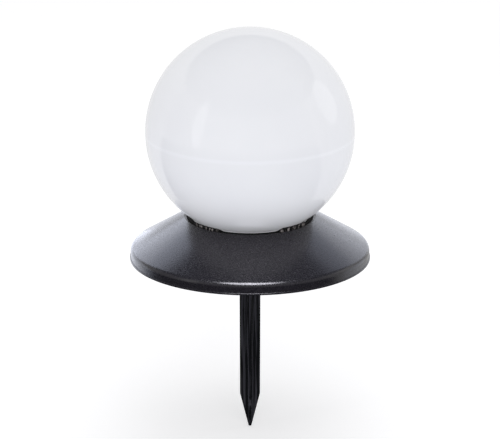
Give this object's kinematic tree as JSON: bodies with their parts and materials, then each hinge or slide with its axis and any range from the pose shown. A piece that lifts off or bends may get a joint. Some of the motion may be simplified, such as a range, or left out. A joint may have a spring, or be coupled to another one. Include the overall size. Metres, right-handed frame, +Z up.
{
  "type": "garden globe light",
  "caption": "Solar garden light: a glossy opal globe seated in a low conical dark base, on a cross-section ground spike.",
  "frame": {"origin": "on the light's axis at ground level, where the base rim lies on the soil and the spike enters it", "axes": "+Z up through the globe; the battery door is towards -Y and the push switch towards +X"},
  "size_m": [0.2314, 0.2314, 0.4],
  "materials": {
    "opal_acrylic": "glossy opal white, moulded",
    "anthracite_cover": "satin anthracite with a fine grain",
    "black_plastic": "matt black, moulded",
    "spike_plastic": "semi-gloss black, moulded",
    "black_rubber": "matt",
    "button_rubber": "matt grey",
    "white_plastic": "satin white reflector",
    "white_board": "white solder mask",
    "green_board": "green solder mask",
    "led_phosphor": "yellow phosphor in a white package",
    "solar_cells": "glossy dark blue",
    "foam_pad": "adhesive foam",
    "battery_wrap": "plain shrink wrap",
    "contact_steel": "nickel-plated spring steel",
    "screw_steel": "stainless steel",
    "component_plastic": "moulded components",
    "wire_red": "insulated wire",
    "wire_white": "insulated wire"
  },
  "bodies": {
    "spike": {"ground_spike": "spike_plastic"},
    "base": {"base_cover": "anthracite_cover", "bayonet_collar": "black_plastic", "collar_screws": "screw_steel", "chassis_gasket": "black_rubber", "chassis": "black_plastic", "light_deck": "white_plastic", "deck_screws": "screw_steel", "led_board": "white_board", "leds": "led_phosphor", "panel_pad": "foam_pad", "solar_panel": "solar_cells", "battery": "battery_wrap", "contact_plates": "contact_steel", "contact_spring": "contact_steel", "battery_door": "black_plastic", "door_gasket": "black_rubber", "door_screws": "screw_steel", "switch_body": "black_plastic", "driver_board": "green_board", "driver_parts": "component_plastic", "board_screws": "screw_steel", "panel_leads": "wire_red", "led_leads": "wire_white", "battery_leads": "wire_red"},
    "globe_carrier": {"neck_seal": "black_rubber"},
    "globe": {"globe_upper": "opal_acrylic", "globe_lower": "opal_acrylic"},
    "button": {"push_button": "button_rubber"}
  },
  "joints": [
    {"name": "base_lift", "type": "slide", "parent": "spike", "child": "base", "axis": [0, 0, 1], "range_m": [0, 0.022]},
    {"name": "globe_rise", "type": "slide", "parent": "base", "child": "globe_carrier", "axis": [0, 0, 1], "range_m": [0, 0.0061]},
    {"name": "globe_twist", "type": "hinge", "parent": "globe_carrier", "child": "globe", "pos_m": [0, 0, 0.03], "axis": [0, 0, 1], "range_deg": [0, 90]},
    {"name": "button_press", "type": "slide", "parent": "base", "child": "button", "axis": [0, 0, 1], "range_m": [0, 0.0015], "stiffness_N_per_m": 400, "springref_m": -0.001}
  ],
  "couplings": [
    {"joint": "globe_rise", "follows": "globe_twist", "m_per_rad": 0.0038197}
  ]
}
